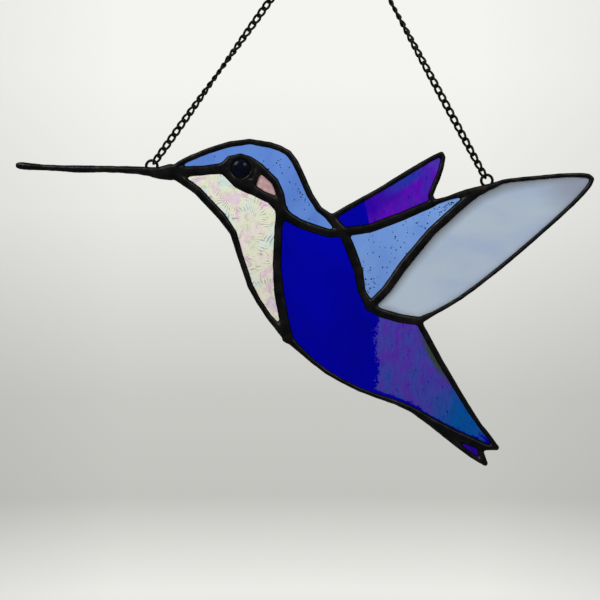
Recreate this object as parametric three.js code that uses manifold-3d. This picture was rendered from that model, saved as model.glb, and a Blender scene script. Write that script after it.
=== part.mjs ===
// Stained-glass hummingbird suncatcher: glass panes in a network of soldered copper-foil
// seams, hung by a curb chain from two jump rings. Millimetres, +Z up, front towards -Y.
// The bird is drawn in the XZ plane around the point where back, wings and body meet, and
// the whole group is then moved so that the origin is the hang point.
import * as THREE from "three";
import { mergeVertices } from "three/addons/utils/BufferGeometryUtils.js";
import Module from "manifold-3d";

const wasm = await Module();
wasm.setup();

// Driving dimensions
const hangPoint = { x: -2.2, z: 163 }; // where the hook bears, seen from the drawing point
const glassThickness = 2.8;
const beadThickness = 4.8; // front to back of every solder bead
const beadSide = 1.5; // half height of a bead's upright side
const crestShare = 0.58; // width of a bead's flat crest as a share of its own width
const hiddenEdge = 0.55; // from a seam's centre line to the edge of the glass in it
const clearance = 0.3; // between any two pieces
const flatness = 0.4; // how far a straight step may leave its curve
const eye = { x: -49.6, z: 30.6, seen: 4.75, girdle: 5.3, setting: 7.3, sides: 14 };
const dropProud = 0.1; // how far a drop stands above the beads it joins
const jumpRing = { outer: 6.5, wire: 1, steps: 12 };
const hangingRing = { outer: 10, wire: 1, steps: 16 };
const chain = { wire: 0.87, linkWidth: 3.5, endShare: 0.6, bite: 0.1, twist: Math.PI / 4 };
const sides = { drop: 6, rod: 8, ringWire: 5, chainWire: 3 }; // facets round each section
const ringLeft = { x: -92.8, z: 32 };
const ringRight = { x: 69.8, z: 25 };

// Places where seams meet
const at = {
  billRoot: [-83.5, 29.1],
  eyeCorner: [-58.7, 30.8],
  cheekTop: [-40.3, 31.3],
  cheekBottom: [-44.4, 21],
  underEye: [-46, 24.3],
  nape: [-29.8, 10.5],
  back: [-5.8, 6.8],
  heart: [0, 0],
  wingPit: [43.4, 14],
  wrist: [71.6, 22],
  wingTip: [120.6, 25.6],
  armpit: [13.2, -35.9],
  rump: [36.4, -43.1],
  breast: [-26.8, -51.2],
  tailFork: [43.2, -92.2],
  tailNotch: [67.3, -103.8],
  tailTip: [74.3, -104.5],
  tailLow: [68.9, -112.2],
  farTip: [47.7, 37.9],
};

// A seam is a curve through [x, z, width]. Its samples are as few as the flatness allows.
function seam(...route) {
  const knots = route.map(([x, z, width]) => new THREE.Vector3(x, z, width));
  const curve = new THREE.CatmullRomCurve3(knots, false, "centripetal");
  const samples = [curve.getPoint(0)];
  const halve = (from, to) => {
    const a = curve.getPoint(from);
    const b = curve.getPoint(to);
    const middle = curve.getPoint((from + to) / 2);
    if (middle.distanceTo(a.clone().lerp(b, 0.5)) > flatness) {
      halve(from, (from + to) / 2);
      halve((from + to) / 2, to);
    } else samples.push(b);
  };
  for (let i = 1; i < knots.length; i++) {
    halve((i - 1) / (knots.length - 1), i / (knots.length - 1));
  }
  return samples;
}

const seams = {
  bridge: seam([...at.billRoot, 7.6], [-76.2, 29.3, 4.9], [-67, 29.9, 4.4], [...at.eyeCorner, 5]),
  forehead: seam([...at.billRoot, 3], [-79.3, 33, 2.5], [-64.5, 39.6, 2.5], [-54.8, 42.6, 2.6],
    [-45.1, 43.8, 2.4], [-35.5, 42.2, 2.6], [-26.4, 38.2, 2.7], [-21, 29.2, 2.9],
    [-16.1, 18, 2.9], [-11.7, 11.1, 2.8], [...at.back, 3.4]),
  browFront: seam([...at.eyeCorner, 4], [-54.8, 35.3, 3.2], [-49.8, 36.7, 2.7],
    [-45.6, 35.4, 2.8], [...at.cheekTop, 3.8]),
  browRear: seam([...at.cheekTop, 3.8], [-33, 24.3, 3.6], [-30.5, 18.5, 3.8], [...at.nape, 5]),
  jawFront: seam([...at.eyeCorner, 4], [-55.2, 27.4, 3.8], [-50.8, 24, 5.8], [...at.cheekBottom, 5.6]),
  jawRear: seam([...at.cheekBottom, 5.2], [-39.5, 18, 4.2], [-34.7, 15.9, 4.6], [...at.nape, 5]),
  cheekBar: seam([...at.cheekTop, 3.6], [-42.5, 26.2, 2.8], [...at.cheekBottom, 3.8]),
  napeSeam: seam([...at.nape, 5], [-26, 7, 4.4], [-21.3, 4.3, 4.2], [-16.1, 2.2, 4.2],
    [-6.5, -0.7, 3.9], [...at.heart, 4.4]),
  backSeam: seam([...at.back, 4.4], [-3.4, 4, 4.5], [...at.heart, 4.6]),
  collar: seam([...at.nape, 4.8], [-31.3, 2.5, 3.7], [-32, -16, 4], [-31.1, -28.5, 4.6],
    [-29, -40.6, 4.5], [...at.breast, 4.8]),
  throat: seam([...at.billRoot, 4.4], [-78, 25.3, 3.9], [-70.6, 20.1, 3.8], [-58.7, 7.4, 3.8],
    [-53.2, -0.4, 3.1], [-49.7, -11.9, 2.7], [-44.9, -26.3, 2.6], [-35.5, -41.6, 2.5],
    [...at.breast, 4.4]),
  belly: seam([...at.breast, 4.2], [-21.2, -56.7, 2.6], [-8.6, -67.3, 2.1], [8.3, -76.4, 2],
    [25.3, -82.4, 2.3], [33.5, -86, 2.8], [...at.tailFork, 4.2]),
  farWingTop: seam([...at.back, 2.8], [3.3, 12.2, 2.4], [18, 20.5, 2.1], [32.4, 29.3, 2.4],
    [42, 35, 2.1], [...at.farTip, 2]),
  farWingEnd: seam([...at.farTip, 2], [48.6, 36.2, 2], [47.4, 30.6, 2.2], [45.8, 26.2, 2.4],
    [42.4, 17.9, 2.4], [...at.wingPit, 3.4]),
  wingRoot: seam([...at.heart, 4.4], [13, 1.8, 4.1], [27.6, 7.2, 4.1], [...at.wingPit, 3.8]),
  wristEdge: seam([...at.wingPit, 2.8], [49.6, 15.9, 1.9], [59.3, 19, 2.9], [...at.wrist, 3]),
  wingEdge: seam([...at.wrist, 3], [76.9, 24.2, 1.9], [85.9, 25.5, 1.8], [105.3, 27.3, 1.9],
    [116.5, 27.4, 2], [119.2, 27, 2.1], [...at.wingTip, 2.2]),
  wingLow: seam([...at.wingTip, 2.2], [119.7, 23.3, 2.1], [115.5, 18, 1.9], [105.2, 7.9, 1.7],
    [76.2, -17.2, 1.8], [56.7, -32.1, 1.7], [44, -39.4, 2], [...at.rump, 3.4]),
  wingSeam: seam([...at.wrist, 2.6], [65.4, 19.4, 3.9], [55, 11.2, 4.2], [42.4, -0.4, 4.2],
    [29.5, -16, 4.5], [21.1, -27.9, 4.2], [...at.armpit, 4.2]),
  shoulderSeam: seam([...at.heart, 4.4], [3.6, -8, 4.5], [7.5, -18.7, 4.3], [9.1, -28.9, 3.6],
    [...at.armpit, 4.2]),
  flankSeam: seam([...at.armpit, 4.2], [17.7, -39, 4.2], [27.7, -41.9, 4.2], [...at.rump, 4]),
  tailBack: seam([...at.rump, 2.8], [47.1, -62.8, 2.6], [57.1, -79.6, 2.4], [66.4, -94.1, 2.1],
    [70.4, -98.9, 2.1], [...at.tailTip, 2.2]),
  tailSeam: seam([...at.tailFork, 4.2], [54.4, -98, 4.1], [59.2, -100.2, 4.4],
    [...at.tailNotch, 4.2]),
  tailTop: seam([...at.tailNotch, 4.2], [70.3, -104.4, 2.7], [...at.tailTip, 2.3]),
  tailUnder: seam([...at.tailFork, 4.2], [49.6, -97.8, 3.4], [57.6, -104.8, 2.3],
    [62.5, -108.4, 2.2], [...at.tailLow, 2.2]),
  tailEnd: seam([...at.tailNotch, 3], [66.6, -106.4, 2.7], [...at.tailLow, 2.2]),
};

// Solder drops where seams meet or end: [place, radius]
const drops = [
  ["eyeCorner", 3], ["cheekBottom", 3], ["underEye", 2.1], ["nape", 3.4], ["back", 2.3], ["heart", 3.3],
  ["wingPit", 2], ["wingTip", 1.1], ["armpit", 3], ["rump", 2.2], ["breast", 3],
  ["tailFork", 2.2], ["tailTip", 1.4], ["tailLow", 1.3], ["farTip", 1.1],
];

// The seams round each pane; a minus turns a seam's direction round.
const paneBorders = {
  crown_glass: "forehead backSeam -napeSeam -browRear -browFront -bridge",
  throat_glass: "bridge jawFront jawRear collar -throat",
  cheek_glass: "browRear -jawRear -cheekBar",
  body_glass: "napeSeam shoulderSeam flankSeam tailBack -tailTop -tailSeam -belly -collar",
  far_wing_glass: "farWingTop farWingEnd -wingRoot -backSeam",
  shoulder_glass: "wingRoot wristEdge wingSeam -shoulderSeam",
  wing_glass: "wingEdge wingLow -flankSeam -wingSeam",
  tail_glass: "tailSeam tailEnd -tailUnder",
};

function solidOf(geometry) {
  geometry.deleteAttribute("normal");
  geometry.deleteAttribute("uv");
  const merged = mergeVertices(geometry, 1e-4);
  return new wasm.Manifold(new wasm.Mesh({
    numProp: 3,
    vertProperties: merged.attributes.position.array,
    triVerts: new Uint32Array(merged.index.array),
  }));
}

function meshOf(name, solid, material) {
  const { numProp, vertProperties, triVerts, numVert } = solid.getMesh();
  const positions = new Float32Array(numVert * 3);
  for (let i = 0; i < numVert; i++) {
    positions.set(vertProperties.subarray(i * numProp, i * numProp + 3), i * 3);
  }
  const geometry = new THREE.BufferGeometry()
    .setAttribute("position", new THREE.BufferAttribute(positions, 3))
    .setIndex(new THREE.BufferAttribute(triVerts, 1));
  geometry.computeVertexNormals();
  const mesh = new THREE.Mesh(geometry, material);
  mesh.name = name;
  return mesh;
}

const join = (solids) => solids.reduce((whole, solid) => whole.add(solid));

// Moves every vertex of a geometry by place(x, y, z), which returns the new point.
function reshape(geometry, place) {
  const position = geometry.attributes.position;
  for (let i = 0; i < position.count; i++) {
    const [x, y, z] = place(position.getX(i), position.getY(i), position.getZ(i));
    position.setXYZ(i, x, y, z);
  }
  return geometry;
}

// A bar of one cross-section along seam samples. broad(width) gives the size across the seam
// and deep(width, share) the size front to back of one unit of the section, where share runs
// from 0 to 1 along the seam.
function strip(samples, section, broad, deep = () => 1) {
  const steps = samples.length - 1;
  const straight = new THREE.ExtrudeGeometry(section, { depth: steps, steps, bevelEnabled: false });
  return solidOf(reshape(straight, (across, thick, along) => {
    const i = Math.round(along);
    const before = samples[Math.max(i - 1, 0)];
    const after = samples[Math.min(i + 1, steps)];
    const length = Math.hypot(after.x - before.x, after.y - before.y);
    const reach = across * broad(samples[i].z) / length;
    return [
      samples[i].x + reach * (after.y - before.y),
      thick * deep(samples[i].z, i / steps),
      samples[i].y - reach * (after.x - before.x),
    ];
  }));
}

const shapeOf = (points) => new THREE.Shape(points.map(([x, y]) => new THREE.Vector2(x, y)));

const crest = beadThickness / 2;
const beadSection = shapeOf([
  [1, beadSide], [crestShare, crest], [-crestShare, crest], [-1, beadSide],
  [-1, -beadSide], [-crestShare, -crest], [crestShare, -crest], [1, -beadSide],
]);
const coreSection = shapeOf([[1, crest], [-1, crest], [-1, -crest], [1, -crest]]);

const halved = (width) => width / 2;
const bead = (samples, deep) => strip(samples, beadSection, halved, deep);

// The thin wall of a seam between two panes, carried on a little past both ends
function core(samples, halfWidth) {
  const longer = [...samples];
  const first = samples[0].clone().sub(samples[1]).setLength(halfWidth);
  const last = samples.at(-1).clone().sub(samples.at(-2)).setLength(halfWidth);
  longer[0] = samples[0].clone().add(first);
  longer[longer.length - 1] = samples.at(-1).clone().add(last);
  return strip(longer, coreSection, () => halfWidth);
}

// A turned drop with a bead's section, a little prouder than the beads it joins
function drop([x, z], radius) {
  const proud = crest + dropProud;
  const profile = [
    [0, -proud], [crestShare * radius, -proud], [radius, -beadSide], [radius, beadSide],
    [crestShare * radius, proud], [0, proud],
  ].map(([r, y]) => new THREE.Vector2(r, y));
  return solidOf(new THREE.LatheGeometry(profile, sides.drop).translate(x, 0, z));
}

function borderOf(names) {
  const loop = [];
  for (const name of names.split(" ")) {
    const samples = seams[name.replace("-", "")];
    const way = name.startsWith("-") ? [...samples].reverse() : samples;
    loop.push(...way.slice(1).map((p) => [p.x, p.y]));
  }
  return loop;
}

// The plate inside a pane's border, kept inset from the seams' centre lines
function plate(names, thickness, inset) {
  const flat = new THREE.ExtrudeGeometry(shapeOf(borderOf(names)), {
    depth: thickness,
    bevelEnabled: false,
  });
  flat.rotateX(Math.PI / 2).translate(0, thickness / 2, 0);
  const walls = names.split(" ").map((name) => core(seams[name.replace("-", "")], inset));
  return walls.reduce((rest, wall) => rest.subtract(wall), solidOf(flat));
}

// A round rod through [x, z, diameter]
function rod(...route) {
  const circle = Array.from({ length: sides.rod }, (_, i) => 2 * Math.PI * i / sides.rod)
    .map((angle) => [Math.cos(angle), Math.sin(angle)]);
  return strip(seam(...route), shapeOf(circle), halved, halved);
}

// A wire ring that lies in the plane of the bird
function wireRing({ x, z }, { outer, wire, steps }, grow = 0) {
  const ring = new THREE.TorusGeometry((outer - wire) / 2, wire / 2 + grow, sides.ringWire, steps);
  return solidOf(ring.rotateX(Math.PI / 2).translate(x, 0, z));
}

// A solid turned about the eye's axis
function turned(...profile) {
  const points = profile.map(([r, y]) => new THREE.Vector2(r, y));
  return solidOf(new THREE.LatheGeometry(points, eye.sides).translate(eye.x, 0, eye.z));
}

// Beak: a lumpy solder-coated wire with a thin end that is held in the bill root
const beak = rod([-158.6, 32.5, 1.8], [-157, 32.4, 3], [-152, 31.9, 3.1], [-146, 31.5, 2.6],
  [-137, 31.1, 2.5], [-130, 30.7, 3.2], [-115, 30.7, 2.9], [-101.6, 30.1, 3.4])
  .add(rod([-104, 30.2, 2.2], [-97.6, 29.8, 2.2]));
const beakSocket = rod([-106, 30.3, 2.8], [-97.3, 29.8, 2.8]);

// The bill root grows from a round sleeve on the beak to a full bead.
const billRootRoute = seam([-101.3, 30.1, 3.5], [-95.4, 29.7, 3.6], [-92.2, 28.9, 4.6],
  [-88.8, 28.6, 5.8], [...at.billRoot, 7.8]);
const sleeve = billRootRoute[0].z / beadThickness;
const billRoot = bead(billRootRoute, (_, share) => Math.min(1, sleeve + 2 * share * (1 - sleeve)));

// Eye: a domed gem with a thin girdle that the setting holds from both sides
const gemDome = { front: 3.9, back: 3.4, shoulder: 2.4, drop: 0.5 };
const gemEdge = 1.2; // half the thickness of the girdle
const settingSlope = 1.2; // how far the setting's crest lies in from its rim
const gem = turned(
  [0, -gemDome.front], [gemDome.shoulder, gemDome.drop - gemDome.front],
  [eye.seen - clearance, -gemEdge], [eye.girdle, -gemEdge],
  [eye.girdle, gemEdge], [eye.seen - clearance, gemEdge],
  [gemDome.shoulder, gemDome.back - gemDome.drop], [0, gemDome.back],
);
const seatEdge = gemEdge + clearance;
const outside = 2 * crest;
const gemSeat = turned(
  [0, -outside], [eye.seen, -outside], [eye.seen, -seatEdge],
  [eye.girdle + clearance, -seatEdge], [eye.girdle + clearance, seatEdge],
  [eye.seen, seatEdge], [eye.seen, outside], [0, outside],
);
const setting = turned(
  [0, -crest], [eye.setting - settingSlope, -crest], [eye.setting, -beadSide],
  [eye.setting, beadSide], [eye.setting - settingSlope, crest], [0, crest],
);

// Solder: all beads and drops joined, then opened for the glass, gem, beak and rings
const solderPieces = [
  billRoot,
  setting,
  ...Object.values(seams).map((samples) => bead(samples)),
  ...drops.map(([place, radius]) => drop(at[place], radius)),
];
const grooves = Object.values(paneBorders).map((names) =>
  plate(names, glassThickness + 2 * clearance, hiddenEdge - clearance));
const rings = [ringLeft, ringRight];
const openings = [
  ...grooves,
  gemSeat,
  beakSocket,
  ...rings.map((ring) => wireRing(ring, jumpRing, clearance)),
];
const solder = openings.reduce((rest, hole) => rest.subtract(hole), join(solderPieces));

// Curb chain: ovals of wire, each twisted a quarter turn from end to end
function chainLink(place, direction, halfLength, turn) {
  const halfWidth = (chain.linkWidth - chain.wire) / 2;
  const corners = 6;
  const torus = new THREE.TorusGeometry(1, chain.wire / 2, sides.chainWire, corners);
  return solidOf(reshape(torus, (x, y, z) => {
    const angle = Math.atan2(y, x);
    const corner = Math.abs(Math.cos(angle)) > 0.9; // one of the two widest corners
    const radial = 1 - Math.hypot(x, y);
    const across = Math.sign(Math.cos(angle)) * (corner ? 1 : chain.endShare) * (halfWidth + radial);
    const along = corner ? 0 : Math.sign(Math.sin(angle)) * (halfLength + radial);
    const twist = turn + chain.twist * along / halfLength;
    const side = across * Math.cos(twist) - z * Math.sin(twist);
    return [
      place.x + along * direction.x + side * direction.y,
      across * Math.sin(twist) + z * Math.cos(twist),
      place.y + along * direction.y - side * direction.x,
    ];
  }));
}

// One side of the chain, pulled straight between two rings
function chainSide(lower, upper, count, fullTurn, ease) {
  const from = new THREE.Vector2(lower.x, lower.z);
  const to = new THREE.Vector2(upper.x, upper.z);
  const direction = to.clone().sub(from).normalize();
  const inside = ({ outer, wire }) => outer / 2 - wire - chain.wire / 2 - clearance;
  from.addScaledVector(direction, inside(jumpRing));
  to.addScaledVector(direction, -inside(hangingRing));
  const span = from.distanceTo(to);
  const grip = chain.wire - chain.bite;
  const pitch = (span - grip) / count;
  const halfLength = (pitch + grip) / 2;
  const links = [];
  for (let i = 0; i < count; i++) {
    const place = from.clone().addScaledVector(direction, halfLength + i * pitch);
    const turn = fullTurn * (i / (count - 1)) ** ease - Math.PI / 4;
    links.push(chainLink(place, direction, halfLength, turn));
  }
  return join(links);
}

const gather = { x: hangPoint.x, z: hangPoint.z - hangingRing.outer / 2 + hangingRing.wire };

const glass = (color, opacity = 1) => new THREE.MeshStandardMaterial({
  color, roughness: 0.15, metalness: 0, transparent: opacity < 1, opacity,
});
const blackSolder = new THREE.MeshStandardMaterial({ color: 0x17161a, roughness: 0.4, metalness: 0.6 });
const blackWire = new THREE.MeshStandardMaterial({ color: 0x111114, roughness: 0.45, metalness: 0.7 });
const paneMaterials = {
  crown_glass: glass(0x5882d7, 0.85),
  throat_glass: glass(0xdfe4d2, 0.6),
  cheek_glass: glass(0xc8a5a5, 0.9),
  body_glass: glass(0x1a1aa0, 0.9),
  far_wing_glass: glass(0x4a12b4, 0.9),
  shoulder_glass: glass(0x6991da, 0.85),
  wing_glass: glass(0xa5b4cd, 0.95),
  tail_glass: glass(0x3a1a8c, 0.9),
};

const group = new THREE.Group();
group.name = "suncatcher";
group.position.set(-hangPoint.x, 0, -hangPoint.z);
group.add(meshOf("solder_seams", solder, blackSolder));
group.add(meshOf("beak", beak, blackSolder));
group.add(meshOf("eye_gem", gem, glass(0x0a0a0e)));
for (const [name, names] of Object.entries(paneBorders)) {
  group.add(meshOf(name, plate(names, glassThickness, hiddenEdge), paneMaterials[name]));
}
group.add(meshOf("ring_left", wireRing(ringLeft, jumpRing), blackWire));
group.add(meshOf("ring_right", wireRing(ringRight, jumpRing), blackWire));
group.add(meshOf("hanging_ring", wireRing(gather, hangingRing), blackWire));
group.add(meshOf("chain_left", chainSide(ringLeft, gather, 36, 2.5 * Math.PI, 1.1), blackWire));
group.add(meshOf("chain_right", chainSide(ringRight, gather, 35, 1.5 * Math.PI, 1.5), blackWire));

export default group;
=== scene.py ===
import math
import random

import bmesh
import bpy
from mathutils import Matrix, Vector, kdtree, noise


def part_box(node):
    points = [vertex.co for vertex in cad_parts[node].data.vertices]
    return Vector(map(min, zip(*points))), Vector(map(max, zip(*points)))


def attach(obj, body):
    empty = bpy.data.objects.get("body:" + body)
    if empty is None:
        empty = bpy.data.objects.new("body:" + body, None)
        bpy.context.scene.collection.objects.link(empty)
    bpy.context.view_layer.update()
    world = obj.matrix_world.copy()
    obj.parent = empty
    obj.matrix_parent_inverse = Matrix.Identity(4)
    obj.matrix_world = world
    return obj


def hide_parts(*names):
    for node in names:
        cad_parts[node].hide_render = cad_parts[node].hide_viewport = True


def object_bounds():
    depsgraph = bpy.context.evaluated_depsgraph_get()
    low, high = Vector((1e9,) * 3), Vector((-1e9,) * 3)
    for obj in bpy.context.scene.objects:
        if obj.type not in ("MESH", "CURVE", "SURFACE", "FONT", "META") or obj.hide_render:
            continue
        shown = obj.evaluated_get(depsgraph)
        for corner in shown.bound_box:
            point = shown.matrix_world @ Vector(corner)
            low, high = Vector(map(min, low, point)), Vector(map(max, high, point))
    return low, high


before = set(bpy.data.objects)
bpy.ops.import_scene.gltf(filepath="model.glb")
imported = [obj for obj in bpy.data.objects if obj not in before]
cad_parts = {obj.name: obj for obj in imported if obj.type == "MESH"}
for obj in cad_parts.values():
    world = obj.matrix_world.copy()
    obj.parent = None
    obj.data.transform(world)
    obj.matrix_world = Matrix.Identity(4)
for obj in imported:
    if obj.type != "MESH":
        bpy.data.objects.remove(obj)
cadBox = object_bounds()
mm = 0.001
print("stage: frame loaded")


def linear(hexCode):
    # an sRGB hex colour as linear light
    values = [int(hexCode[i:i + 2], 16) / 255 for i in (1, 3, 5)]
    return [v / 12.92 if v <= 0.04045 else ((v + 0.055) / 1.055) ** 2.4 for v in values] + [1]


def pick(*objects):
    # selects these objects and nothing else
    if bpy.context.object and bpy.context.object.mode != "OBJECT":
        bpy.ops.object.mode_set(mode="OBJECT")
    bpy.ops.object.select_all(action="DESELECT")
    for thing in objects:
        thing.hide_viewport = False
        thing.select_set(True)
    if objects:
        bpy.context.view_layer.objects.active = objects[0]


def named(name):
    # takes the object that an operator has just made
    made = bpy.context.object
    made.name = made.data.name = name
    return made


def copyOf(node, name):
    # a copy of a CAD node with its own mesh and with its loose triangles merged
    pick(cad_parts[node])
    bpy.ops.object.duplicate()
    made = named(name)
    made.parent = None
    made.hide_render = False
    for key in [key for key in made.keys() if key.startswith("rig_")]:
        del made[key]
    bpy.ops.object.mode_set(mode="EDIT")
    bpy.ops.mesh.select_all(action="SELECT")
    bpy.ops.mesh.remove_doubles(threshold=0.002 * mm)
    bpy.ops.object.mode_set(mode="OBJECT")
    return made


def modify(piece, kind, **settings):
    # adds one modifier and applies it
    pick(piece)
    step = piece.modifiers.new(kind.lower(), kind)
    for key, value in settings.items():
        setattr(step, key, value)
    bpy.ops.object.modifier_apply(modifier=step.name)


def cloudField(name, size):
    field = bpy.data.textures.new(name, "CLOUDS")
    field.noise_scale = size * mm
    field.noise_depth = 1
    return field


def finishPiece(piece, material, slot, *nodes):
    piece.data.materials.clear()
    piece.data.materials.append(material)
    pick(piece)
    bpy.ops.object.shade_smooth()
    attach(piece, "root")
    if nodes:
        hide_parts(*nodes)
    print("piece", piece.name, len(piece.data.polygons), "faces")
    return piece


def middle(node):
    low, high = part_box(node)
    return (Vector(low) + Vector(high)) / 2


def newMaterial(name):
    material = bpy.data.materials.new(name)
    material.use_nodes = True
    tree = material.node_tree
    return material, tree, tree.nodes["Principled BSDF"]


def feed(tree, node, inputs):
    # gives a node's inputs their values or their links
    for key, source in inputs.items():
        if isinstance(source, bpy.types.Node):
            source = source.outputs[0]
        if isinstance(source, bpy.types.NodeSocket):
            tree.links.new(source, node.inputs[key])
        else:
            node.inputs[key].default_value = source


def addNode(tree, kind, inputs={}, stops=(), **settings):
    # adds one node with its settings, its inputs and, on a ramp, its colour stops
    node = tree.nodes.new(kind)
    for key, value in settings.items():
        setattr(node, key, value)
    feed(tree, node, inputs)
    if stops:
        points = node.color_ramp.elements
        while len(points) < len(stops):
            points.new(0.5)
        for point, (position, colour) in zip(points, stops):
            point.position = position
            point.color = linear(colour)
    return node


studio = {
    "lens": 74.0,
    "sensor": 36.0,  # a new camera's own width, in millimetres
    "aim": (-18.67, -196.0),  # x and z of the middle of the view, in millimetres
    "viewWidth": 291.2,  # millimetres seen across at the bird
    "floorDrop": 150.0,  # from the tail down to the floor
    "floorRadius": 220.0,
    "floor": "#b9b9b5",
    # the wall's colours from low to high, and the heights between which they lie
    "wall": ((0.0, "#dcdcd8"), (0.12, "#ebece7"), (0.17, "#dcddd8"), (0.24, "#c2c3be"),
             (0.37, "#c8c9c4"), (0.46, "#d4d4d0"), (0.62, "#e9eae5"), (0.8, "#f4f4f0")),
    "heights": (-0.3, 0.3),
    "depths": (-0.7, 0.4),  # between these it brightens from the room's front to its back
    "frontLight": 0.5,
    "widths": (0.14, 0.25),  # between these it darkens towards the sides of the view
    "sideLight": 0.9,
    "lamps": {"keyLight": ((-510, -500, 450), 420, 9.0),  # place, size, watts
              "fillLight": ((340, -650, 350), 320, 4.0)},
}


def makeStudio():
    scene = bpy.context.scene
    scene.view_settings.view_transform = "Standard"
    scene.world = bpy.data.worlds.new("paleRoom")
    scene.world.use_nodes = True
    tree = scene.world.node_tree
    way = addNode(tree, "ShaderNodeTexCoord").outputs["Generated"]
    parts = addNode(tree, "ShaderNodeSeparateXYZ", {"Vector": way})
    height = addNode(tree, "ShaderNodeMapRange", {
        "Value": parts.outputs["Z"], "From Min": studio["heights"][0],
        "From Max": studio["heights"][1]})
    wall = addNode(tree, "ShaderNodeValToRGB", {"Fac": height}, stops=studio["wall"])
    front = addNode(tree, "ShaderNodeMapRange", {
        "Value": parts.outputs["Y"], "From Min": studio["depths"][0],
        "From Max": studio["depths"][1], "To Min": studio["frontLight"], "To Max": 1.0})
    aside = addNode(tree, "ShaderNodeMath", {0: parts.outputs["X"]}, operation="ABSOLUTE")
    side = addNode(tree, "ShaderNodeMapRange", {
        "Value": aside, "From Min": studio["widths"][0], "From Max": studio["widths"][1],
        "To Min": 1.0, "To Max": studio["sideLight"]})
    strength = addNode(tree, "ShaderNodeMath", {0: front, 1: side}, operation="MULTIPLY")
    feed(tree, tree.nodes["Background"], {"Color": wall, "Strength": strength})

    aimX, aimZ = studio["aim"]
    away = studio["viewWidth"] * studio["lens"] / studio["sensor"]
    bpy.ops.object.camera_add(location=(aimX * mm, -away * mm, aimZ * mm),
                              rotation=(math.pi / 2, 0, 0))
    camera = named("camera")
    camera.data.lens = studio["lens"]
    scene.camera = camera

    for name, (place, size, power) in studio["lamps"].items():
        spot = Vector(place) * mm
        turn = (Vector((aimX, 0, aimZ)) * mm - spot).to_track_quat("-Z", "Y").to_euler()
        bpy.ops.object.light_add(type="AREA", location=spot, rotation=turn)
        lamp = named(name)
        lamp.data.size = size * mm
        lamp.data.energy = power

    # Matt emulsion on board: pale and without gloss
    material, tree, shader = newMaterial("matteFloorPaint")
    feed(tree, shader, {"Base Color": linear(studio["floor"]), "Roughness": 0.9})
    bpy.ops.mesh.primitive_circle_add(
        vertices=96, radius=studio["floorRadius"] * mm, fill_type="NGON",
        location=(0, 0, cadBox[0].z - studio["floorDrop"] * mm))
    floor = named("floor")
    floor.data.materials.append(material)


pick()
makeStudio()
print("stage: camera, lights and floor ready")


patina = {
    "patches": 5.0,  # millimetres across a patch of thicker or thinner patina
    "tones": ((0.35, "#0e0f10"), (0.55, "#171718"), (0.75, "#26231f")),
    "wear": 2.2,
    "gloss": (0.24, 0.45),  # roughness where it is rubbed and where it isn't
    "pits": 0.9,  # coarser than real flux pits, so that they show
    "pitDepth": 0.1,
}


def patinaSolder():
    # Tin solder blackened with copper patina. It is near black with a soft metal gloss, browner
    # where the patina is thin, and fine flux pits break its reflections.
    material, tree, shader = newMaterial("blackPatinaSolder")
    place = addNode(tree, "ShaderNodeTexCoord").outputs["Object"]
    patches = addNode(tree, "ShaderNodeTexNoise", {
        "Vector": place, "Scale": 1 / (patina["patches"] * mm), "Detail": 4})
    tone = addNode(tree, "ShaderNodeValToRGB", {"Fac": patches}, stops=patina["tones"])
    wear = addNode(tree, "ShaderNodeTexNoise", {
        "Vector": place, "Scale": 1 / (patina["wear"] * mm), "Detail": 3})
    gloss = addNode(tree, "ShaderNodeMapRange", {
        "Value": wear, "To Min": patina["gloss"][0], "To Max": patina["gloss"][1]})
    pits = addNode(tree, "ShaderNodeTexNoise", {
        "Vector": place, "Scale": 1 / (patina["pits"] * mm), "Detail": 4})
    bump = addNode(tree, "ShaderNodeBump", {
        "Height": pits, "Strength": 0.35, "Distance": patina["pitDepth"] * mm})
    feed(tree, shader, {"Base Color": tone, "Roughness": gloss.outputs["Result"],
                        "Normal": bump, "Metallic": 0.85, "Specular Tint": linear("#808080")})
    return material


solder = {
    "cut": 1.72,  # just above the grooves that hold the glass
    "side": 1.5,  # half height of a bead's upright side
    "flow": 0.25,  # how far the solder runs out into the corners
    "shrink": 0.1,  # and how much of that is taken back from the beads
    "voxel": 0.42,
    "lumps": 0.25,
    "lumpSize": 4,
    "triangles": 150000,
    "slopes": (-0.98, -0.2),  # how far a bead's slope faces the front, as its normal's y
    "sleeve": ((-99.4, -132.9, 1.72), (-86, -134.2, 2.5)),  # x, z and radius at both ends
}


def widen(mesh, drop):
    # carries the beads' slopes on outwards over the selected, newly extruded points
    for point in [p for p in mesh.verts if p.select]:
        above = [e.other_vert(point) for e in point.link_edges
                 if not e.other_vert(point).select]
        slopes = [f.normal for p in above for f in p.link_faces
                  if solder["slopes"][0] < f.normal.y < solder["slopes"][1]]
        for normal in slopes:
            out = Vector((normal.x, 0, normal.z))
            point.co -= out * (normal.y * drop / out.length_squared / len(slopes))


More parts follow.
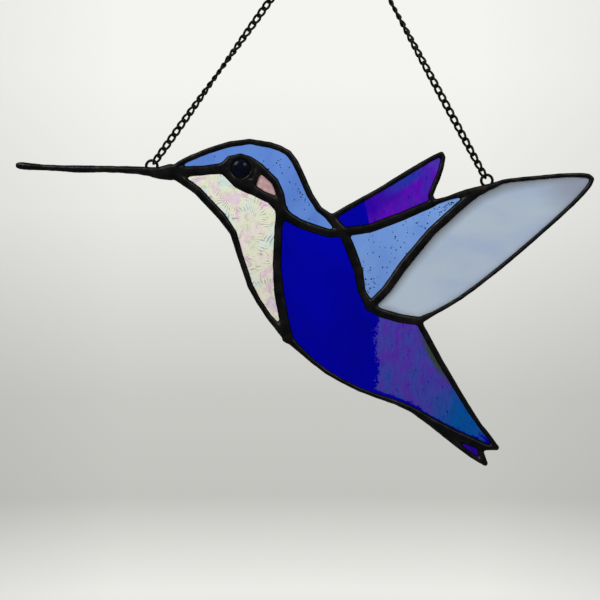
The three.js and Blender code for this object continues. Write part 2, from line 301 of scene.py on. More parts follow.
def makeSolder(material):
    lines = copyOf("solder_seams", "solder_lines")
    cut = -solder["cut"] * mm
    bpy.ops.object.mode_set(mode="EDIT")
    bpy.ops.mesh.select_all(action="SELECT")
    bpy.ops.mesh.bisect(plane_co=(0, cut, 0), plane_no=(0, 1, 0), clear_outer=True,
                        threshold=0.001 * mm)
    bpy.ops.mesh.select_mode(type="EDGE")
    bpy.ops.mesh.select_all(action="DESELECT")
    bpy.ops.mesh.select_non_manifold()
    drop = (solder["cut"] - solder["side"]) * mm
    bpy.ops.mesh.extrude_edges_move(TRANSFORM_OT_translate={"value": (0, drop, 0)})
    widen(bmesh.from_edit_mesh(lines.data), drop)
    bmesh.update_edit_mesh(lines.data)
    bpy.ops.mesh.extrude_edges_move(
        TRANSFORM_OT_translate={"value": (0, solder["side"] * mm, 0)})
    bpy.ops.object.mode_set(mode="OBJECT")
    modify(lines, "MIRROR", use_axis=(False, True, False), merge_threshold=0.01 * mm)

    # a round sleeve on the beak grows into the flatter bill root
    (startX, startZ, thin), (endX, endZ, thick) = solder["sleeve"]
    span = Vector((endX - startX, 0, endZ - startZ)) * mm
    bpy.ops.mesh.primitive_cone_add(
        vertices=32, radius1=thin * mm, radius2=thick * mm, depth=span.length,
        location=Vector((startX + endX, 0, startZ + endZ)) * mm / 2,
        rotation=span.to_track_quat("Z", "Y").to_euler())
    sleeve = named("sleeve")
    pick(lines, sleeve)
    bpy.ops.object.join()

    # swelling, closing and shrinking again leaves round beads with filled corners
    modify(lines, "REMESH", mode="VOXEL", voxel_size=solder["voxel"] * mm)
    modify(lines, "DISPLACE", strength=solder["flow"] * mm, mid_level=0)
    modify(lines, "REMESH", mode="VOXEL", voxel_size=solder["voxel"] * mm)
    modify(lines, "SMOOTH", factor=0.5, iterations=5)
    modify(lines, "DISPLACE", strength=-solder["shrink"] * mm, mid_level=0)
    modify(lines, "DISPLACE", strength=solder["lumps"] * mm,
           texture=cloudField("solderLumps", solder["lumpSize"]))
    modify(lines, "SMOOTH", factor=0.5, iterations=3)
    share = solder["triangles"] / (2 * len(lines.data.polygons))
    if share < 1:
        modify(lines, "DECIMATE", ratio=share)
    finishPiece(lines, material, "solder", "solder_seams")


solderMaterial = patinaSolder()
makeSolder(solderMaterial)

beak = {
    "voxel": 0.3,
    "lumps": 0.4,
    "fill": 0.25,  # how full the coat of solder is, as a share of its lumps
    "lumpSize": 5,
    "grain": 0.12,
    "grainSize": 1.6,
    "end": -99.9,  # x where the full rod ends, and how far it is drawn on into the sleeve
    "reach": 2.0,
    "settle": 0.12,  # how far the solder has run down on it before it set
}


def makeBeak(material):
    rod = copyOf("beak", "beak_rod")
    bpy.ops.object.mode_set(mode="EDIT")
    shape = bmesh.from_edit_mesh(rod.data)
    for point in shape.verts:
        point.select_set(point.co.x > beak["end"] * mm)
    shape.select_flush(True)
    bpy.ops.transform.translate(value=(beak["reach"] * mm, 0, 0))
    bpy.ops.object.mode_set(mode="OBJECT")
    modify(rod, "REMESH", mode="VOXEL", voxel_size=beak["voxel"] * mm)
    modify(rod, "SMOOTH", factor=0.5, iterations=14)
    modify(rod, "DISPLACE", strength=beak["lumps"] * mm, mid_level=-beak["fill"],
           texture=cloudField("beakLumps", beak["lumpSize"]))
    modify(rod, "DISPLACE", strength=beak["grain"] * mm,
           texture=cloudField("beakGrain", beak["grainSize"]))
    modify(rod, "DISPLACE", strength=-beak["settle"] * mm, mid_level=0, direction="Z")
    modify(rod, "SMOOTH", factor=0.5, iterations=2)
    finishPiece(rod, material, "solder", "beak")


makeBeak(solderMaterial)
print("stage: solder and beak ready")

rolledGlass = {
    "voxel": 0.5,
    "rimTilt": 0.5,  # a face whose normal has less y than this is on the rim
    "apart": (0.3, 0.1),  # metres that keep the waves of the two sides and of the panes unlike
}


def paneFrom(node, name, look):
    # A copy of a pane with fine faces. They rise and fall by a wave, as rolled glass does, and
    # each point knows how far it is from the pane's rim.
    pane = copyOf(node, name)
    voxel = look.get("voxel", rolledGlass["voxel"])
    modify(pane, "REMESH", mode="VOXEL", voxel_size=voxel * mm)
    mesh = pane.data
    rim = {v for face in mesh.polygons if abs(face.normal.y) < rolledGlass["rimTilt"]
           for v in face.vertices}
    tree = kdtree.KDTree(len(rim))
    for i in rim:
        tree.insert((mesh.vertices[i].co.x, 0, mesh.vertices[i].co.z), i)
    tree.balance()
    layer = mesh.attributes.new("rim", "FLOAT", "POINT")
    bySide, byPane = rolledGlass["apart"]
    for vertex in mesh.vertices:
        x, y, z = vertex.co
        layer.data[vertex.index].value = tree.find((x, 0, z))[2] / mm
        shift = bySide * math.copysign(1, y) + byPane * len(name)
        vertex.co.y += look["wave"] * mm * noise.noise(
            Vector((x, shift, z)) / (look["spread"] * mm))
    mesh.update()
    return pane


seeds = {
    "clear": 1.6,  # how far they keep from the rim, in millimetres
    "beside": 0.5,  # a spot farther than this from all of the pane's points lies beyond it
    "depths": (-0.9, 0.7),  # y of the foremost and the hindmost
    "radius": (0.13, 0.36),
    "lean": (-0.5, 0.9),
    "flat": 0.7,
    "long": (1, 1.7),
}


def seedsIn(pane, name, rows, material):
    # Seeds, the small long bubbles of antique glass: each row is the middle of a group, how
    # far it spreads and how many are in it, in millimetres.
    draw = random.Random(name)
    layer = pane.data.attributes["rim"].data
    tree = kdtree.KDTree(len(pane.data.vertices))
    for vertex in pane.data.vertices:
        tree.insert((vertex.co.x, 0, vertex.co.z), vertex.index)
    tree.balance()
    made = []
    for x, z, spread, count in rows:
        while count:
            spot = Vector((draw.gauss(x, spread), 0, draw.gauss(z, spread))) * mm
            _, index, away = tree.find(spot)
            if away > seeds["beside"] * mm or layer[index].value < seeds["clear"]:
                continue
            count -= 1
            spot.y = draw.uniform(*seeds["depths"]) * mm
            size = draw.uniform(*seeds["radius"]) * mm
            turn = draw.uniform(*seeds["lean"])
            bpy.ops.mesh.primitive_ico_sphere_add(subdivisions=1, radius=size, location=spot,
                                                  rotation=(0, turn, 0))
            bpy.ops.transform.resize(value=(1, seeds["flat"], draw.uniform(*seeds["long"])))
            made.append(bpy.context.object)
    pick(*made)
    bpy.ops.object.join()
    bpy.ops.object.transform_apply(location=True, rotation=True, scale=True)
    return finishPiece(named(name), material, "sky_glass")


def glassShader(name, **sockets):
    # clear through, with the low gloss of glass that stands against the light
    material, tree, shader = newMaterial(name)
    feed(tree, shader, {"Transmission Weight": 1.0, "Roughness": 0.03, "IOR": 1.52,
                        "Specular Tint": linear("#505058")})
    feed(tree, shader, {key.replace("_", " "): value for key, value in sockets.items()})
    return material, tree, shader


skyStreaks = {
    "width": 9,  # millimetres
    "drawn": (1, 1, 0.45),  # they are longer than they are wide
}


def seedyGlass(name, *tones):
    # Seedy antique cathedral glass in sky blue: clear through, with faint drawn streaks.
    material, tree, shader = glassShader(name)
    place = addNode(tree, "ShaderNodeTexCoord").outputs["Object"]
    drawn = addNode(tree, "ShaderNodeMapping", {"Vector": place, "Scale": skyStreaks["drawn"]})
    streak = addNode(tree, "ShaderNodeTexNoise", {
        "Vector": drawn, "Scale": 1 / (skyStreaks["width"] * mm), "Detail": 3})
    tone = addNode(tree, "ShaderNodeValToRGB", {"Fac": streak}, stops=(
        (0.35, tones[0]), (0.65, tones[1])))
    feed(tree, shader, {"Base Color": tone})
    return material


spotCore = (0.2, 0.6)  # share of a spot's reach and of its depth that is fully tinted


def spotted(tree, place, rim, colour, spots):
    # tints a colour softly round each spot, and only so deep in from the pane's rim
    for (x, z), reach, depth, tint in spots:
        away = addNode(tree, "ShaderNodeVectorMath", {0: place, 1: (x * mm, 0, z * mm)},
                       operation="DISTANCE")
        near = addNode(tree, "ShaderNodeMapRange", {
            "Value": away.outputs["Value"], "From Min": spotCore[0] * reach * mm,
            "From Max": reach * mm, "To Min": 1.0, "To Max": 0.0},
            interpolation_type="SMOOTHSTEP")
        shallow = addNode(tree, "ShaderNodeMapRange", {
            "Value": rim, "From Min": spotCore[1] * depth, "From Max": depth,
            "To Min": 1.0, "To Max": 0.0})
        share = addNode(tree, "ShaderNodeMath", {0: near, 1: shallow}, operation="MULTIPLY")
        colour = addNode(tree, "ShaderNodeMix", {
            0: share, 6: colour, 7: linear(tint)}, data_type="RGBA").outputs[2]
    return colour


irid = {
    "deep": ((0.3, "#0000a6"), (0.7, "#0000ba")),  # the blue glass itself
    "clouds": 20,  # millimetres across a cloud in it
    "drawn": (1, 1, 0.3),  # streaks and pinholes are longer than they are wide
    "hueMottle": 0.4,  # how much the fine mottle changes the film's hue
    "lightMottle": (0.8, 1.2),  # and how much its strength
    "rags": 2.4,  # size of the rags along the film's edge
    "pinholes": 0.9,
    "bare": (0.26, 0.33),  # below this noise a pinhole is bare, and above it the film is whole
    "wornWay": (0.65, 0.76),  # x and z of the way away from the worn rim
    "wornBlend": 2,  # millimetres over which the wear ends
    "guard": 5.0,  # how safe the film is beyond the worn rim, in millimetres
    "bites": (3.9, 4.6),  # where it is worn off and where it is whole again
}


def iridCobalt(name, edge, film):
    # Iridised cobalt cathedral glass: deep blue through, and beyond a ragged edge a thin metal
    # oxide film that plays from violet to blue in drawn streaks with small bare pinholes. The
    # film's colour is partly its own hue and partly a painted reflection of a bright light.
    material, tree, shader = glassShader(name)
    place = addNode(tree, "ShaderNodeTexCoord").outputs["Object"]
    rim = addNode(tree, "ShaderNodeAttribute", attribute_name="rim").outputs["Fac"]
    clouds = addNode(tree, "ShaderNodeTexNoise", {
        "Vector": place, "Scale": 1 / (irid["clouds"] * mm)})
    deep = addNode(tree, "ShaderNodeValToRGB", {"Fac": clouds}, stops=irid["deep"])
    drawn = addNode(tree, "ShaderNodeMapping", {"Vector": place, "Scale": irid["drawn"]})
    streak = addNode(tree, "ShaderNodeTexNoise", {
        "Vector": drawn, "Scale": 1 / (film["size"] * mm), "Detail": 5, "Roughness": 0.62,
        "Distortion": 0.5})
    mottle = addNode(tree, "ShaderNodeTexNoise", {
        "Vector": drawn, "Scale": 1 / (film["mottle"] * mm), "Detail": 4, "Roughness": 0.7})
    mixed = addNode(tree, "ShaderNodeMath", {0: mottle, 1: irid["hueMottle"], 2: streak},
                    operation="MULTIPLY_ADD")
    level = addNode(tree, "ShaderNodeMath", {0: mixed, 1: irid["hueMottle"] / 2},
                    operation="SUBTRACT")
    # painted reflection: these colours hold a reflected bright light as well as the film's hue
    colour = addNode(tree, "ShaderNodeValToRGB", {"Fac": level}, stops=film["stops"])
    colour = spotted(tree, place, rim, colour, film["spots"])
    strength = addNode(tree, "ShaderNodeMapRange", {
        "Value": mottle, "From Min": 0.3, "From Max": 0.7, "To Min": irid["lightMottle"][0],
        "To Max": irid["lightMottle"][1]})
    colour = addNode(tree, "ShaderNodeMix", {
        0: 1.0, 6: colour, 7: strength}, data_type="RGBA", blend_type="MULTIPLY").outputs[2]

    # the film and its painted reflection start where x passes an edge line that leans, sways
    # and is ragged
    parts = addNode(tree, "ShaderNodeSeparateXYZ", {"Vector": place})
    down = addNode(tree, "ShaderNodeMath", {0: edge["z"] * mm, 1: parts.outputs["Z"]},
                   operation="SUBTRACT")
    lean = addNode(tree, "ShaderNodeMath", {0: down, 1: edge["lean"], 2: edge["x"] * mm},
                   operation="MULTIPLY_ADD")
    turn = addNode(tree, "ShaderNodeMath", {0: down, 1: 2 * math.pi / (edge["sway"] * mm)},
                   operation="MULTIPLY")
    sway = addNode(tree, "ShaderNodeMath", {0: turn}, operation="COSINE")
    line = addNode(tree, "ShaderNodeMath", {0: sway, 1: edge["depth"] * mm, 2: lean},
                   operation="MULTIPLY_ADD")
    rag = addNode(tree, "ShaderNodeTexNoise", {
        "Vector": place, "Scale": 1 / (irid["rags"] * mm), "Detail": 5, "Roughness": 0.75})
    torn = addNode(tree, "ShaderNodeMath", {0: rag, 1: edge["ragged"] * mm, 2: line},
                   operation="MULTIPLY_ADD")
    past = addNode(tree, "ShaderNodeMath", {0: parts.outputs["X"], 1: torn},
                   operation="SUBTRACT")
    # where the film, with its painted reflection, lies over the deep blue
    filmAndReflection = addNode(tree, "ShaderNodeMapRange", {
        "Value": past, "From Min": -edge["blur"] * mm, "From Max": edge["blur"] * mm})
    pinhole = addNode(tree, "ShaderNodeTexNoise", {
        "Vector": drawn, "Scale": 1 / (irid["pinholes"] * mm), "Detail": 2})
    whole = addNode(tree, "ShaderNodeMapRange", {
        "Value": pinhole, "From Min": irid["bare"][0], "From Max": irid["bare"][1]})
    share = addNode(tree, "ShaderNodeMath", {0: filmAndReflection, 1: whole}, operation="MULTIPLY")

    # and it is worn through in places along the lower rim
    wayX, wayZ = irid["wornWay"]
    side = addNode(tree, "ShaderNodeVectorMath", {0: place, 1: (wayX / mm, 0, wayZ / mm)},
                   operation="DOT_PRODUCT")
    guard = addNode(tree, "ShaderNodeMapRange", {
        "Value": side.outputs["Value"], "From Min": edge["worn"] - irid["wornBlend"],
        "From Max": edge["worn"] + irid["wornBlend"], "To Max": irid["guard"]})
    inward = addNode(tree, "ShaderNodeMath", {0: rim, 1: guard}, operation="ADD")
    bitten = addNode(tree, "ShaderNodeMath", {0: rag, 1: irid["guard"], 2: inward},
                     operation="MULTIPLY_ADD")
    kept = addNode(tree, "ShaderNodeMapRange", {
        "Value": bitten, "From Min": irid["bites"][0], "From Max": irid["bites"][1]})
    share = addNode(tree, "ShaderNodeMath", {0: share, 1: kept}, operation="MULTIPLY")
    feed(tree, shader, {"Base Color": addNode(tree, "ShaderNodeMix", {
        0: share, 6: deep, 7: colour}, data_type="RGBA").outputs[2]})
    return material


opal = {
    "turn": 35,  # degrees that the wisps lean
    "drawn": (0.4, 1, 1),
    "shadeWay": (0.1, -0.12),  # x and z of the way from the shaded rim into the light
}


def opalGlass(name, look):
    # Opal glass: milk white that scatters light inside, with soft wisps. Its rim is painted
    # greyer, a painted shade where the solder keeps the light out, above all at the upper left.
    material, tree, shader = newMaterial(name)
    place = addNode(tree, "ShaderNodeTexCoord").outputs["Object"]
    drawn = addNode(tree, "ShaderNodeMapping", {
        "Vector": place, "Rotation": (0, math.radians(opal["turn"]), 0),
        "Scale": opal["drawn"]})
    wisp = addNode(tree, "ShaderNodeTexNoise", {
        "Vector": drawn, "Scale": 1 / (look["wisps"] * mm), "Detail": 3, "Distortion": 0.6})
    rim = addNode(tree, "ShaderNodeAttribute", attribute_name="rim").outputs["Fac"]
    tone = addNode(tree, "ShaderNodeValToRGB", {"Fac": wisp}, stops=look["tones"])
    tone = spotted(tree, place, rim, tone, look["spots"])
    # painted shade: the rim's colour is mixed towards a grey, deeper towards one side
    wayX, wayZ = opal["shadeWay"]
    side = addNode(tree, "ShaderNodeVectorMath", {
        0: place, 1: (wayX * look["lean"] / mm, 0, wayZ * look["lean"] / mm)},
        operation="DOT_PRODUCT")
    inward = addNode(tree, "ShaderNodeMath", {
        0: rim, 1: side.outputs["Value"]}, operation="ADD")
    inner = addNode(tree, "ShaderNodeMapRange", {
        "Value": inward, "From Min": look["rim"][0], "From Max": look["rim"][1]},
        interpolation_type="SMOOTHSTEP")
    colour = addNode(tree, "ShaderNodeMix", {
        0: inner, 6: linear(look["shade"]), 7: tone}, data_type="RGBA").outputs[2]
    feed(tree, shader, {"Base Color": colour, "Roughness": 0.25, "IOR": 1.52,
                        "Specular IOR Level": 0.2})
    return material


# Each pane: how high and how wide its waves are, and its own glass, in millimetres. Seeds are
# in rows of x, z, spread and count. A film's edge passes x at the height z, and "worn" is how
# far its worn rim goes along wornWay. Spots are a place, a reach, a depth from the rim and a
# tint. An opal pane has its wisps' size, the shade of its rim, how deep in that goes, and how
# much it leans to one side.
crown = {
    "wave": 0.12, "spread": 9, "tones": ("#6089e0", "#6b95e8"),
    "seeds": ((-12, -143, 5, 18), (-25, -130, 7, 12), (-45, -124, 9, 6)),
}
shoulder = {
    "wave": 0.12, "spread": 9, "tones": ("#749eec", "#80a8f0"),
    "seeds": ((54, -147, 6, 34), (14, -186, 5, 36), (24, -167, 10, 34), (34, -157, 7, 16)),
}
body = {
    "wave": 0.1, "spread": 16,
    "edge": {"x": 10.4, "z": -205, "lean": 0.02, "sway": 24, "depth": 0.8, "ragged": 15,
             "blur": 0.12, "worn": -152},
    # the film's colours are partly a painted reflection, and the olive spot by the rim is a
    # painted reflection of the solder's edge
    "film": {"size": 4, "mottle": 1.4,  # of its streaks and of its fine mottle
             "stops": ((0.32, "#2850b4"), (0.44, "#444cbc"), (0.54, "#5440ba"),
                       (0.66, "#6820ba")),
             "spots": (((62, -254), 26, 99, "#0a5ab4"), ((76, -266), 12, 99, "#0a3c9a"),
                       ((48, -212), 14, 99, "#5c2cb8"), ((51, -221), 20, 3.6, "#3e5028"))},
}
farWing = {
    "wave": 0.08, "spread": 12,
    "edge": {"x": 12.2, "z": -147.8, "lean": 0.24, "sway": 40, "depth": 0.1, "ragged": 0.3,
             "blur": 0.3, "worn": -999},  # so far off that this film isn't worn
    # the film's colours here are partly a painted reflection of a bright light
    "film": {"size": 4, "mottle": 1.6,
             "stops": ((0.32, "#3c2cb0"), (0.43, "#5212ba"), (0.56, "#640ac0"),
                       (0.7, "#6a1cb8")),
             "spots": (((22, -144), 11, 99, "#3c0cb2"), ((15, -151), 9, 99, "#3204b2"),
                       ((32, -136), 17, 5.5, "#2a34b2"), ((47, -129), 7, 99, "#4c30b6"),
                       ((65, -269), 22, 99, "#2c079c"))},
}
wing = {
    "wave": 0.12, "spread": 18, "wisps": 14, "shade": "#737b84", "rim": (26.2, 32.0),
    "lean": 1.0, "tones": ((0.35, "#8e9cb2"), (0.65, "#98a4b2")),
    # the first spot is painted shade that greys the far tip
    "spots": (((119, -136), 28, 99, "#7e8596"), ((34, -196), 26, 99, "#99a6b4")),
}
cheek = {
    "wave": 0.08, "spread": 4, "wisps": 1.6, "shade": "#8a6c6c", "rim": (1.0, 2.0),
    "lean": 0.0, "tones": ((0.35, "#957577"), (0.65, "#b09091")), "spots": (),
}


def makePane(node, name, look, material, slot):
    return finishPiece(paneFrom(node, name, look), material, slot, node)


def makePanes():
    # Painted shade: a bubble seen through blue glass looks dark where it bends the light away,
    # so it is a dark blue bead with a bright edge.
    seed, tree, shader = newMaterial("darkSeed")
    feed(tree, shader, {"Base Color": linear("#081450"), "Roughness": 0.2})
    pane = makePane("crown_glass", "crown_pane", crown,
                    seedyGlass("seedySkyGlass", *crown["tones"]), "sky_glass")
    seedsIn(pane, "crown_seeds", crown["seeds"], seed)
    pane = makePane("shoulder_glass", "shoulder_pane", shoulder,
                    seedyGlass("paleSeedyGlass", *shoulder["tones"]), "sky_glass")
    seedsIn(pane, "shoulder_seeds", shoulder["seeds"], seed)
    makePane("body_glass", "body_pane", body,
             iridCobalt("iridCobaltGlass", body["edge"], body["film"]), "cobalt_glass")
    violet = iridCobalt("iridVioletGlass", farWing["edge"], farWing["film"])
    makePane("far_wing_glass", "far_wing_pane", farWing, violet, "cobalt_glass")
    makePane("tail_glass", "tail_pane", farWing, violet, "purple_glass")
    makePane("wing_glass", "wing_pane", wing, opalGlass("whiteOpalGlass", wing), "opal_glass")
    makePane("cheek_glass", "cheek_pane", cheek, opalGlass("pinkOpalGlass", cheek),
             "pink_glass")


makePanes()
print("stage: panes ready")


throat = {
    "wave": 0.04,
    "spread": 9,
    "voxel": 0.4,
    "frond": 12.0,  # how far apart the middles of the fronds are, in millimetres
    "warp": (6.0, 3.0),  # how wide and how deep the fronds are bent
    "rays": 30,  # rays round a whole frond
    "sway": (4.0, 5.0),  # how wide the rays wander, in millimetres, and how far, in radians
    "patches": 3.5,  # the rays fade and deepen in patches of this size
    "fade": (0.38, 0.6),
    "depth": (0.15, 0.9),
    "centre": (0.04, 0.2),  # no rays in the middle of a frond, as a share of its size
    "relief": 0.1,  # how far the rays stand up
    "clouds": 9,  # size of the film's patches of one hue
    "rayHue": 0.05,  # how much the hue changes across a ray
    "redden": 1.3,  # how fast the film's hue changes downwards, per metre
    "film": ((0.54, "#dcf0ea"), (0.63, "#f2f8f0"), (0.7, "#eff4d8"), (0.77, "#faf4ea"),
             (0.85, "#f4d6e8"), (0.93, "#ece4f4")),
    # painted shade: the dark lines along the rays
    "lines": ((0.0, "#a69da5"), (0.3, "#dcd8da"), (0.7, "#ffffff")),
}


def frostGlass():
    # Clear iridised glass with a chipped frost of fern rays: almost clear, with a pastel film of
    # green, cream and pink, and a fine dark line wherever a ray bends the light aside; these
    # lines are painted shade.
    material, tree, shader = glassShader("iridFrostGlass", Roughness=0.1)
    place = addNode(tree, "ShaderNodeTexCoord").outputs["Object"]
    parts = addNode(tree, "ShaderNodeSeparateXYZ", {"Vector": place})
    flat = addNode(tree, "ShaderNodeCombineXYZ", {"X": parts.outputs["X"],
                                                  "Y": parts.outputs["Z"]})
    warpSize, warpDepth = throat["warp"]
    stray = addNode(tree, "ShaderNodeTexNoise", {"Vector": flat, "Scale": 1 / (warpSize * mm)})
    bend = addNode(tree, "ShaderNodeVectorMath", {
        0: stray.outputs["Color"], 1: (warpDepth * mm,) * 3, 2: flat},
        operation="MULTIPLY_ADD")

    # every frond is a cell of the pattern, and its rays run out from the cell's middle
    frond = addNode(tree, "ShaderNodeTexVoronoi", {
        "Vector": bend, "Scale": 1 / (throat["frond"] * mm)}, voronoi_dimensions="2D")
    arm = addNode(tree, "ShaderNodeVectorMath", {0: bend, 1: frond.outputs["Position"]},
                  operation="SUBTRACT")
    reach = addNode(tree, "ShaderNodeSeparateXYZ", {"Vector": arm})
    angle = addNode(tree, "ShaderNodeMath", {0: reach.outputs["Y"], 1: reach.outputs["X"]},
                    operation="ARCTAN2")
    swaySize, swayTurn = throat["sway"]
    drift = addNode(tree, "ShaderNodeTexNoise", {"Vector": flat, "Scale": 1 / (swaySize * mm)})
    wander = addNode(tree, "ShaderNodeMath", {0: drift, 1: swayTurn}, operation="MULTIPLY")
    phase = addNode(tree, "ShaderNodeMath", {0: angle, 1: throat["rays"], 2: wander},
                    operation="MULTIPLY_ADD")
    wave = addNode(tree, "ShaderNodeMath", {0: phase}, operation="SINE")
    ray = addNode(tree, "ShaderNodeMapRange", {"Value": wave, "From Min": -1.0})
    patch = addNode(tree, "ShaderNodeTexNoise", {
        "Vector": flat, "Scale": 1 / (throat["patches"] * mm), "Detail": 3})
    depth = addNode(tree, "ShaderNodeMapRange", {
        "Value": patch, "From Min": throat["fade"][0], "From Max": throat["fade"][1],
        "To Min": throat["depth"][0], "To Max": throat["depth"][1]})
    out = addNode(tree, "ShaderNodeMapRange", {
        "Value": frond.outputs["Distance"], "From Min": throat["centre"][0],
        "From Max": throat["centre"][1]})
    shown = addNode(tree, "ShaderNodeMath", {0: depth, 1: out}, operation="MULTIPLY")
    comb = addNode(tree, "ShaderNodeMix", {0: shown, 2: 1.0, 3: ray})
    # painted shade: a dark line wherever a ray bends the light aside
    line = addNode(tree, "ShaderNodeValToRGB", {"Fac": comb}, stops=throat["lines"])

    # the film's hue goes by clouds, by height and a little by ray
    cloud = addNode(tree, "ShaderNodeTexNoise", {
        "Vector": flat, "Scale": 1 / (throat["clouds"] * mm), "Detail": 2, "Distortion": 0.4})
    lower = addNode(tree, "ShaderNodeMath", {
        0: parts.outputs["Z"], 1: -throat["redden"], 2: cloud}, operation="MULTIPLY_ADD")
    hue = addNode(tree, "ShaderNodeMath", {0: ray, 1: throat["rayHue"], 2: lower},
                  operation="MULTIPLY_ADD")
    film = addNode(tree, "ShaderNodeValToRGB", {"Fac": hue}, stops=throat["film"])
    colour = addNode(tree, "ShaderNodeMix", {0: 1.0, 6: film, 7: line}, data_type="RGBA",
                     blend_type="MULTIPLY")
    relief = addNode(tree, "ShaderNodeBump", {
        "Height": comb, "Strength": 0.6, "Distance": throat["relief"] * mm})
    feed(tree, shader, {"Base Color": colour.outputs[2], "Normal": relief})
    return material


makePane("throat_glass", "throat_pane", throat, frostGlass(), "clear_glass")
print("stage: throat ready")


gem = {
    "radius": 4.72,
    "girdle": 1.7,  # half the width of its straight side
    "front": 3.9,  # how far the tops of the two domes lie from its middle
    "back": 3.4,
    "faces": (64, 24),  # round the stone and from dome to dome
    "clouds": 6,
    "tones": ((0.3, "#020308"), (0.7, "#050814")),
}


def blackGlass():
    # Pressed black glass: so deep a violet that it looks black, with a soft polish.
    material, tree, shader = newMaterial("polishedBlackGlass")
    place = addNode(tree, "ShaderNodeTexCoord").outputs["Object"]
    depth = addNode(tree, "ShaderNodeTexNoise", {
        "Vector": place, "Scale": 1 / (gem["clouds"] * mm)})
    tone = addNode(tree, "ShaderNodeValToRGB", {"Fac": depth}, stops=gem["tones"])
    feed(tree, shader, {"Base Color": tone, "Roughness": 0.11, "IOR": 1.5,
                        "Specular IOR Level": 0.05})
    return material


def makeGem():
    # a domed stone with a short straight girdle
    bpy.ops.mesh.primitive_uv_sphere_add(
        segments=gem["faces"][0], ring_count=gem["faces"][1], radius=gem["radius"] * mm,
        rotation=(math.pi / 2, 0, 0))
    stone = named("eye_stone")
    bpy.ops.object.transform_apply(rotation=True)
    centre = middle("eye_gem")
    for vertex in stone.data.vertices:
        y = vertex.co.y / mm
        rise = (gem["front"] if y < 0 else gem["back"]) - gem["girdle"]
        if abs(y) > 0.01:  # all but the middle of the girdle
            vertex.co.y = math.copysign(gem["girdle"] + rise * abs(y) / gem["radius"], y) * mm
        vertex.co.x += centre.x
        vertex.co.z += centre.z
    return stone


finishPiece(makeGem(), blackGlass(), "black_glass", "eye_gem")
print("stage: eye ready")


oxide = {
    "patches": 1.5,  # millimetres across a worn patch
    "tones": ((0.4, "#050506"), (0.7, "#0c0c0d")),
    "marks": 0.35,
    "markDepth": 0.05,
}


def blackenedWire():
    # Drawn steel wire with a black oxide finish: dark and satin, a little worn on its bends.
    material, tree, shader = newMaterial("blackOxideWire")
    place = addNode(tree, "ShaderNodeTexCoord").outputs["Object"]
    patches = addNode(tree, "ShaderNodeTexNoise", {
        "Vector": place, "Scale": 1 / (oxide["patches"] * mm), "Detail": 3})
    tone = addNode(tree, "ShaderNodeValToRGB", {"Fac": patches}, stops=oxide["tones"])
    marks = addNode(tree, "ShaderNodeTexNoise", {
        "Vector": place, "Scale": 1 / (oxide["marks"] * mm)})
    bump = addNode(tree, "ShaderNodeBump", {
        "Height": marks, "Strength": 0.15, "Distance": oxide["markDepth"] * mm})
    feed(tree, shader, {"Base Color": tone, "Normal": bump, "Metallic": 0.9,
                        "Roughness": 0.42})
    return material


wire = {
    "jumpRing": {"outer": 6.85, "wire": 1.42},
    "hangingRing": {"outer": 10.0, "wire": 1.2},
    "chainWire": 1.28,
    "linkWidth": 3.9,
    "fullness": (0.8, 0.9),  # 1 makes a link's middle line an ellipse, less makes it fuller
    "ringFaces": (56, 14),  # round a ring and round its wire
    "linkFaces": (28, 9),
    "grip": 1.05,  # how far one link's end reaches into the next
    "twist": math.pi / 4,
    "left": {"links": 36, "start": -0.12, "turn": 1.9, "ease": 1.0},  # turns in half circles
    "right": {"links": 35, "start": -0.25, "turn": 1.29, "ease": 1.4},
}


def makeRing(node, name, size, material):
    centre = middle(node)
    bpy.ops.mesh.primitive_torus_add(
        major_radius=(size["outer"] - size["wire"]) / 2 * mm, minor_radius=size["wire"] / 2 * mm,
        major_segments=wire["ringFaces"][0], minor_segments=wire["ringFaces"][1],
        rotation=(math.pi / 2, 0, 0), location=centre)
    ring = named(name)
    bpy.ops.object.transform_apply(location=True, rotation=True)
    return finishPiece(ring, material, "black_wire", node)


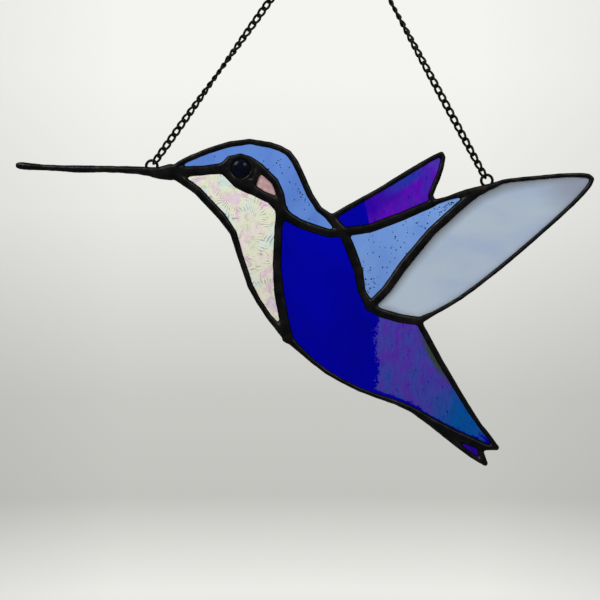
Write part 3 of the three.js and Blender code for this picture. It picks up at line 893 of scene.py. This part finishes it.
def chainLink(halfLength):
    # One curb link along Z: an oval of round wire that turns a quarter from end to end
    halfWidth = (wire["linkWidth"] - wire["chainWire"]) / 2
    wide, tall = wire["fullness"]
    bpy.ops.mesh.primitive_torus_add(
        major_radius=1, minor_radius=wire["chainWire"] / 2,
        major_segments=wire["linkFaces"][0], minor_segments=wire["linkFaces"][1])
    link = named("link")
    for vertex in link.data.vertices:
        x, y, z = vertex.co
        angle = math.atan2(y, x)
        radial = math.hypot(x, y) - 1
        cos, sin = math.cos(angle), math.sin(angle)
        around = Vector((math.copysign(abs(cos) ** wide, cos) * halfWidth,
                         math.copysign(abs(sin) ** tall, sin) * halfLength))
        out = Vector((cos / halfWidth, sin / halfLength)).normalized()
        across, along = around + out * radial
        turn = wire["twist"] * along / halfLength
        vertex.co = Vector((across * math.cos(turn) - z * math.sin(turn),
                            across * math.sin(turn) + z * math.cos(turn), along)) * mm
    bpy.ops.object.mode_set(mode="EDIT")
    bpy.ops.mesh.select_all(action="SELECT")
    bpy.ops.mesh.normals_make_consistent(inside=False)
    bpy.ops.object.mode_set(mode="OBJECT")
    return link


def makeChain(node, name, ring, run, material):
    # links from the jump ring up to the hanging ring, all copies of one, that turn as they go
    start, end = middle(ring), middle("hanging_ring")
    way = (end - start).normalized()
    inside = [(wire[size]["outer"] - wire["chainWire"]) / 2 - wire[size]["wire"]
              for size in ("jumpRing", "hangingRing")]
    start = start + way * inside[0] * mm
    end = end - way * inside[1] * mm
    count = run["links"]
    pitch = ((end - start).length / mm - wire["grip"]) / count
    halfLength = (pitch + wire["grip"]) / 2
    first = chainLink(halfLength)
    links = []
    for i in range(count):
        pick(first)
        bpy.ops.object.duplicate()
        link = bpy.context.object
        link.rotation_mode = "ZYX"  # first about its own length, then into the chain's line
        turned = run["start"] + run["turn"] * (i / (count - 1)) ** run["ease"]
        link.rotation_euler = (0, math.atan2(way.x, way.z), math.pi * turned)
        link.location = start + way * (halfLength + i * pitch) * mm
        links.append(link)
    bpy.data.objects.remove(first)
    pick(*links)
    bpy.ops.object.join()
    bpy.ops.object.transform_apply(location=True, rotation=True)
    return finishPiece(named(name), material, "black_wire", node)


def makeHanging(material):
    makeRing("ring_left", "jump_ring_left", wire["jumpRing"], material)
    makeRing("ring_right", "jump_ring_right", wire["jumpRing"], material)
    makeRing("hanging_ring", "gather_ring", wire["hangingRing"], material)
    makeChain("chain_left", "chain_left_links", "ring_left", wire["left"], material)
    makeChain("chain_right", "chain_right_links", "ring_right", wire["right"], material)


makeHanging(blackenedWire())
print("stage: rings and chain ready")

pick()
